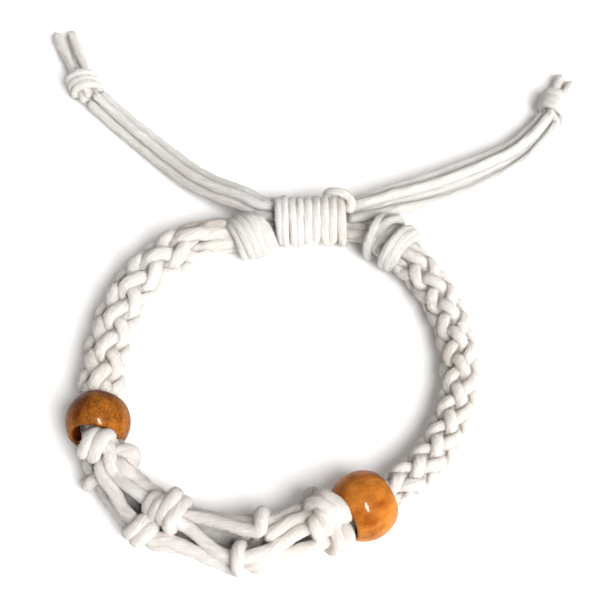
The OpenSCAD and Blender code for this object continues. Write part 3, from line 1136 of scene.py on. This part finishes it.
@dataclass(frozen=True)
class SlidingKnot:
    """The wraps that hold both bundles and let the bracelet open and close."""

    middle: Point = (4.8, 28.4, 4.4)  # the knot's middle
    length: float = 12.0  # its length
    # the plain wraps
    wraps: tuple[Wrap, ...] = (
        Wrap(0.75, 1.4, 0.3, 3.38, 0.1),
        Wrap(1.7, 1.3, 0.0, 3.6, 0.25),
        Wrap(3.0, 1.3, 0.25, 3.36, 0.4),
        Wrap(4.2, 1.25, -0.1, 3.48, 0.1),
    )
    # pairs of places joined by a bend at the front, their radius and tone
    hairpins: tuple[tuple[float, float, float, float], ...] = (
        (5.5, 6.85, 3.45, 0.2),
        (8.2, 9.55, 3.5, 0.4),
    )
    # the last wrap, which bends off to the left at the front
    lone: Wrap = Wrap(10.9, 1.4, 0.1, 3.5, 0.5)
    # route of the cord that crosses the right end, from the knot's left end
    bar: tuple[Point, ...] = (
        (8.5, 3.6, 1.6), (8.7, 3.3, 3.5), (9.5, 2.9, 4.6), (10.8, 2.5, 4.8),
        (12.0, 1.9, 4.4), (12.5, 0.9, 4.0), (12.3, 0.2, 3.3),
    )  # fmt: skip
    seed: int = 500  # chooses the cords' unevenness
    yarn: Yarn = Yarn(1.4, 1.4, plies=3)  # section of the cord

    def origin(self) -> Array:
        """Middle of the knot's left end."""
        return np.array(self.middle) - [self.length / 2, 0.0, 0.0]

    def ring(self, x: Array, radius: Array | float, f: Array) -> Array:
        """Points origin + (x, -r sin f, r cos f): f is 0 on top and grows towards the front."""
        t = np.radians(f)
        return even(self.origin() + np.stack([x, -radius * np.sin(t), radius * np.cos(t)], -1))

    def plain(self, w: Wrap) -> Array:
        """Route of a plain wrap, which starts and ends underneath.

        Args:
            w: the wrap.

        Returns:
            Points of 400 degrees around the knot, pulled in at both ends.
        """
        share, over, drift = np.linspace(0, 1, 90), 200, 0.5  # over: degrees from the top
        f = -over + 2 * over * share
        x = w.x + w.lean * np.sin(np.radians(f) / 2) + drift * (share - 0.5)
        return self.ring(x, w.radius * (1 - 0.2 * (np.abs(share - 0.5) > 0.46)), f)

    def hairpin(self, a: float, b: float, radius: float) -> Array:
        """Route down the front at a, round a bend and back up at b; both ends are at the back.

        Args:
            a: place of the way down.
            b: place of the way up.
            radius: distance from the knot's axis.

        Returns:
            Points of both ways and of the half circle between them.
        """
        back, low, dip = -175, 78, 24  # angles of the ends, of the bend and of its depth
        down, bend = np.linspace(back, low, 50), np.radians(np.linspace(-90, 90, 24))
        mid, half = (a + b) / 2, (b - a) / 2
        x = np.concatenate([0 * down + a, mid + half * np.sin(bend), 0 * down + b])
        return self.ring(x, radius, np.concatenate([down, low + dip * np.cos(bend), down[::-1]]))

    def build(self, finish: Material) -> Object:
        """Makes wraps, hairpins and the crossing bar one piece.

        Args:
            finish: the cotton.

        Returns:
            The piece.
        """
        yarn, axis = self.yarn, (1.0, 0.0, 0.0)
        made = []
        for seed, w in enumerate(self.wraps, self.seed):
            made.append(replace(yarn, width=w.width).sweep(self.plain(w), axis, seed, w.tone))
        for seed, (a, b, radius, tone) in enumerate(self.hairpins, self.seed + 20):
            path = self.hairpin(a, b, radius)
            away = unit((path - self.origin()) * [0.0, 1.0, 1.0])
            made.append(yarn.sweep(path, np.cross(tangents(path), away), seed, tone))
        last, bar = self.plain(self.lone), curve(self.origin() + np.array(self.bar))
        made.append(yarn.sweep(last, axis, self.seed + 30, self.lone.tone))
        made.append(replace(yarn, thick=1.3).sweep(bar, (0.0, 1.0, 0.0), self.seed + 40, 0.3))
        return make_piece("sliding_knot_wraps", made, finish, "sliding_knot", "closure_core")


@dataclass(frozen=True)
class Tail:
    """Four loose cords and the knot near their ends."""

    side: str  # left or right
    route: tuple[Point, ...]  # the tail's middle line, as in the CAD
    strands: tuple[Point, ...]  # side, height and spread of each cord
    knot: Point  # middle of the end knot
    heading: Point  # direction of the tail at the knot
    # side at the knot, side at the tip, distance of the tip and its height, for each cut end
    ends: tuple[tuple[float, float, float, float], ...]
    mouth: Point  # where the tail leaves the wraps
    seed: int  # chooses the cords' unevenness and tones
    knot_seed: int  # the same for the end knot
    size: float = 1.7  # diameter of a cord
    # place of each cord inside the end knot, across and up
    core: tuple[tuple[float, float], ...] = ((-1.0, -0.3), (0.0, -0.5), (1.0, -0.3), (0.1, 0.7))
    core_yarn: Yarn = Yarn(1.5, 1.5)  # section of these cords
    # place of each of the knot's turns along the tail
    rings: tuple[float, ...] = (-1.35, -0.1, 1.2)
    ring_size: tuple[float, float] = (1.95, 2.15)  # radii of a turn, up and across
    ring_yarn: Yarn = Yarn(1.45, 1.35, plies=3)  # section of a turn
    end_yarn: Yarn = Yarn(1.65, 1.4, furrow=0.2, stray=25)  # section of a cut end

    def strand_path(self, side: float, height: float, spread: float) -> Array:
        """Route of one cord of the tail.

        Args:
            side: how far it lies to the left of the middle line.
            height: how far it lies above the line.
            spread: how much further out it goes at mid length.

        Returns:
            The line moved by side + spread sin(pi s)^2 to the left and by height upwards.
        """
        p = np.array(self.route)
        d = unit(np.concatenate([p[1:2] - p[:1], p[2:] - p[:-2], p[-1:] - p[-2:-1]]))
        across = unit(np.cross(UP, d))
        shift = side + spread * np.sin(np.pi * np.linspace(0, 1, len(p))) ** 2
        return curve(p + across * shift[:, None] + height * UP, 0.35)

    def build(self, finish: Material) -> None:
        """Args:
            finish: the cotton.
        """
        knot = self.end_knot(finish)
        yarn = Yarn(self.size, 0.95 * self.size, uneven=0.06, plies=3, furrow=0.14)
        for k, strand in enumerate(self.strands):
            path, seed = self.strand_path(*strand), self.seed + 10 * k
            surface = yarn.sweep(path, UP, seed, drawn(seed, 0.0, 0.7))
            name, node = (f"tail_{self.side}_{word}_{k + 1}" for word in ("cord", "strand"))
            piece = make_piece(name, [surface], finish, node)

    def end_knot(self, finish: Material) -> Object:
        """Makes the turns around the cords, the cords inside them and the cut ends one piece.

        A turn goes 380 degrees around the tail, on an ellipse that leans along it.

        Args:
            finish: the cotton.

        Returns:
            The piece.
        """
        c, d = np.array(self.knot), unit(np.array(self.heading))
        side = np.cross(UP, d)
        up = np.cross(d, side)
        made = []
        for seed, (s, h) in enumerate(self.core, self.knot_seed):
            places = ((-2.6, s, h), (0.0, 0.7 * s, 0.8 * h), (2.3, 0.8 * s, h))
            path = curve([c + x * d + y * side + z * up for x, y, z in places])
            made.append(self.core_yarn.sweep(path, up, seed, 0.4))
        share, (tall, wide) = np.linspace(0, 1, 70), self.ring_size
        f = np.radians(-190 + 380 * share)
        drift = 0.55 * np.sin(f / 2) + 0.5 * (share - 0.5)
        for seed, x in enumerate(self.rings, self.knot_seed + 10):
            ring = np.stack([x + drift, tall * np.cos(f), wide * np.sin(f)], -1)
            path = even(c + ring @ np.stack([d, up, side]))
            made.append(self.ring_yarn.sweep(path, d, seed, 0.2))
        for seed, (a, b, far, z) in enumerate(self.ends, self.knot_seed + 20):
            tip = c + far * d + b * side
            bend = c + 4.2 * d + (a + b) / 2 * side - 0.4 * UP
            path = curve([c + 1.2 * d + a * side + 0.3 * up, bend, [*tip[:2], z]])
            open_out = 1 + 0.3 * ramp(arc(path), 3.0, arc(path)[-1])
            made.append(self.end_yarn.sweep(path, up, seed, 0.4, open_out))
        return make_piece(f"end_knot_{self.side}_cords", made, finish, f"end_knot_{self.side}")


# --- stage ---


@dataclass(frozen=True)
class Lamp:
    """An oval area lamp that faces the bracelet's middle."""

    name: str  # its name
    spot: Point  # where it is
    size: float  # its width
    power: float  # in watts
    tint: Tint  # colour of its light
    tall: float = 1.0  # its height against its width
    gloss: bool = False  # whether it makes only the glints, instead of all light but them
    aim: Point = (0.0, 5.0, 0.0)  # the point that it faces

    def build(self) -> None:
        """Adds the lamp to the scene."""
        data = bpy.data.lights.new(self.name, "AREA")
        data.shape, data.size, data.size_y = "ELLIPSE", self.size * MM, self.size * self.tall * MM
        data.energy, data.color = self.power, self.tint
        lamp = added(self.name, data)
        lamp.location = Vector(self.spot) * MM
        facing = Vector(self.aim) * MM - lamp.location
        lamp.rotation_euler = facing.to_track_quat("-Z", "Y").to_euler()
        lamp.visible_glossy, lamp.visible_diffuse = self.gloss, not self.gloss


@dataclass(frozen=True)
class Studio:
    """Camera, floor and light."""

    target: Point = (3.87, 14.0, 4.0)  # point that the camera looks at
    distance: float = 280.0  # of the camera from it
    elevation: float = 61.0  # of the camera above the floor, in degrees
    lens: float = 105.6  # focal length for a 36 mm sensor
    paper: Tint = (0.93, 0.925, 0.92)  # colour of the floor
    sky: Tint = (1.0, 0.97, 0.95)  # colour of the pale surroundings
    sky_power: float = 0.38  # how bright they are
    # two broad lamps at the front right and a small one for gloss
    lamps: tuple[Lamp, ...] = (
        Lamp("key", (430.0, -690.0, 1080.0), 700.0, 17.0, (1.0, 0.998, 0.995)),
        Lamp("side", (860.0, -780.0, 620.0), 760.0, 11.0, (1.0, 0.99, 0.98)),
        Lamp("glint", (200.0, -507.0, 991.0), 190.0, 15.5, (1.0, 1.0, 1.0), 3.3, gloss=True),
    )

    def camera(self) -> None:
        """Puts the camera at the photo's angle."""
        e = np.radians(self.elevation)
        data = bpy.data.cameras.new("camera")
        data.lens, data.sensor_width = self.lens, 36.0
        data.clip_start, data.clip_end = 0.01, 20.0
        cam = added("camera", data)
        away = self.distance * np.array([0.0, -np.cos(e), np.sin(e)])
        cam.location = (np.array(self.target) + away) * MM
        cam.rotation_euler = (np.radians(90 - self.elevation), 0.0, 0.0)
        bpy.context.scene.camera = cam

    def floor(self, reach: float = 3.0) -> None:
        """Lays a plain pale sheet far wider than the view.

        Args:
            reach: half its width, in metres.
        """
        mesh = bpy.data.meshes.new("floor")
        corners = [(x * reach, y * reach, 0) for x, y in ((-1, -1), (1, -1), (1, 1), (-1, 1))]
        mesh.from_pydata(corners, [], [(0, 1, 2, 3)])
        paper = NodeSheet("floor_paper")
        paper.finish(Base_Color=(*self.paper, 1), Roughness=0.95, Specular_IOR_Level=0.1)
        mesh.materials.append(paper.material)
        added("floor", mesh)

    def light(self) -> None:
        """Makes soft pale surroundings and the lamps, and sets the contrast of the picture."""
        scene = bpy.context.scene
        scene.world = bpy.data.worlds.new("surroundings")
        scene.world.use_nodes = True
        back = scene.world.node_tree.nodes["Background"]
        back.inputs["Color"].default_value = (*self.sky, 1.0)
        back.inputs["Strength"].default_value = self.sky_power
        for lamp in self.lamps:
            lamp.build()
        scene.view_settings.view_transform = "Standard"
        scene.view_settings.look = "Medium High Contrast"


# --- the bracelet ---

DARK_WOOD = StainedWood("bead_left_wood", (0.285, 0.105, 0.016), (0.1, 0.028, 0.0042), 0.7)
AMBER_WOOD = StainedWood("bead_right_wood", (0.445, 0.172, 0.029), (0.235, 0.068, 0.008))


@dataclass(frozen=True)
class Bracelet:
    """All pieces in the order in which they are made."""

    tails: tuple[Tail, ...] = (
        Tail(
            "left",
            (
                (-1.7, 30.2, 5.5), (-3.6, 30.4, 5.7), (-6.6, 32.5, 5.3), (-10.2, 34.5, 4.5),
                (-14.0, 37.2, 3.5), (-18.3, 41.2, 2.6), (-22.6, 45.4, 2.1), (-27.1, 49.7, 2.0),
                (-31.5, 54.0, 2.5),
            ),
            ((-1.35, -0.3, -0.1), (0.0, -0.6, 0.0), (1.35, -0.3, 0.1), (0.1, 0.85, 0.3)),
            (-34.0, 57.0, 2.6),
            (-0.38, 0.92, 0.0),
            ((0.9, 0.7, 12.4, 1.0), (-0.8, -1.7, 11.8, 1.0)),
            (-1.2, 30.2, 5.5),
            seed=600, knot_seed=700,
        ),
        Tail(
            "right",
            (
                (11.3, 30.0, 5.5), (13.6, 30.4, 5.6), (18.0, 31.9, 5.3), (23.9, 33.8, 4.8),
                (29.1, 36.0, 4.4), (33.8, 38.6, 4.0), (38.9, 42.0, 3.5), (42.5, 46.0, 2.9),
                (45.1, 49.7, 2.5),
            ),
            ((1.5, -0.3, 1.4), (0.0, -0.6, 0.1), (-1.5, -0.3, -0.6), (0.1, 0.95, 0.6)),
            (46.4, 52.6, 2.6),
            (0.36, 0.93, 0.0),
            ((0.9, 1.0, 6.6, 1.1), (-0.8, -1.0, 6.0, 0.9)),
            (10.8, 30.0, 5.5),
            seed=700, knot_seed=760,
        ),
    )  # fmt: skip
    beads: tuple[Bead, ...] = (
        Bead("bead_left", 195.7, 10.0, DARK_WOOD, aim=14, nose=11),
        Bead("bead_right", 299.8, 10.6, AMBER_WOOD, aim=-9, nose=-7),
    )
    braids: tuple[RoundBraid, ...] = (
        RoundBraid("left", 121.0, 185.4, ((-6.0, 25.4, 4.4), (-8.0, 25.5, 4.5), (-11.2, 25.4, 4.5)),
                   into=192.0, pitch=24.0, seed=10),
        RoundBraid("right", 44.0, -48.2, ((16.4, 24.6, 4.6), (17.6, 23.8, 4.7), (18.9, 22.6, 4.6)),
                   into=-57.0, pitch=20.0, seed=210, size=0.87),
    )  # fmt: skip
    net: KnottedNet = KnottedNet((
        (NetKnot(205.9, 82, 1.9, KnotStyle.DOUBLE, 54, out=0.7), NetKnot(211.4, 138, 1.4, lean=-16),
         NetKnot(210.0, 240, 1.4), NetKnot(210.6, 308, 1.4, lean=-28)),
        (NetKnot(234.6, 120, 1.6, KnotStyle.PAIR, -18), NetKnot(233.6, 205, lean=-28),
         NetKnot(232.6, 285), NetKnot(231.2, 12, 1.6, KnotStyle.DOUBLE, -20)),
        (NetKnot(258.2, 8, 1.75, lean=10), NetKnot(266.2, 128, 1.85, lean=-5),
         NetKnot(263.0, 222), NetKnot(261.6, 295, lean=-28)),
        (NetKnot(285.4, 92, 1.65, KnotStyle.PAIR, 12), NetKnot(286.2, 181, lean=-28),
         NetKnot(286.6, 256, 1.4), NetKnot(287.9, -22, 1.5, KnotStyle.DOUBLE, -10)),
    ))  # fmt: skip
    knots: tuple[BigKnot, ...] = (
        BigKnot(
            "left",
            (
                Turn((-4.9, 25.5, 4.6), (0.94, 0.34, 0.0), 3.5, 3.0,
                     (-2.0, -0.95, 0.1, 1.1, 2.0), drift=3.6, bulge=(0.0, 0.2, 0.25, 0.1, -0.3)),
                Turn((-7.0, 24.9, 4.1), (0.94, 0.34, -0.3), 3.1, 2.7, (-0.6, 0.6), drift=2.4),
            ),
            ((-5.0, 25.6, 4.4), (-3.2, 26.5, 4.1), (-1.6, 26.8, 3.9), (0.6, 26.8, 3.9)),
            seed=300,
        ),
        BigKnot(
            "right",
            (
                Turn((17.3, 24.4, 4.8), (0.766, -0.643, 0.0), 3.5, 3.3,
                     (1.75, 2.7, 3.4), drift=-1.0, bulge=(0.3, 0.1, -0.4)),
                # this turn lies in the knot's hollow: its high warm tone paints its cords browner
                # and darker, as painted shade
                Turn((17.3, 24.6, 4.5), (0.766, -0.643, 0.1), 2.0, 2.5, (-1.5, -0.6, 0.4, 1.3),
                     warm=1.2),
                Turn((17.0, 24.6, 4.8), (0.8, -0.5, 0.25), 3.5, 3.2, (-2.3,), drift=1.4,
                     bulge=(0.1,)),
                Turn((17.3, 26.2, 4.9), (0.55, -0.8, -0.2), 3.2, 2.5, (0.0,), drift=-0.5, warm=0.7),
            ),
            ((16.8, 24.8, 4.5), (13.6, 26.2, 4.2), (11.4, 26.8, 3.9), (9.2, 26.8, 3.9)),
            seed=400,
        ),
    )  # fmt: skip
    sliding: SlidingKnot = SlidingKnot()

    def build(self) -> None:
        """Makes every piece; the cords that lie free come first."""
        cottons = (BRAID_COTTON, NET_COTTON, KNOT_COTTON, TIE_COTTON)
        braid, net, knot, tie = (cotton.material() for cotton in cottons)
        for tail in self.tails:
            tail.build(tie)
        for bead in self.beads:
            bead.build()
        for round_braid in self.braids:
            round_braid.build(braid)
        self.net.build(net)
        for big_knot in self.knots:
            big_knot.build(knot)
        self.sliding.build(tie)


def main() -> None:
    """Builds the stage and the bracelet."""
    logging.basicConfig(level=logging.INFO, format="%(name)s: %(message)s")
    studio = Studio()
    studio.camera()
    Bracelet().build()
    studio.floor()
    studio.light()


if __name__ == "__main__":
    main()
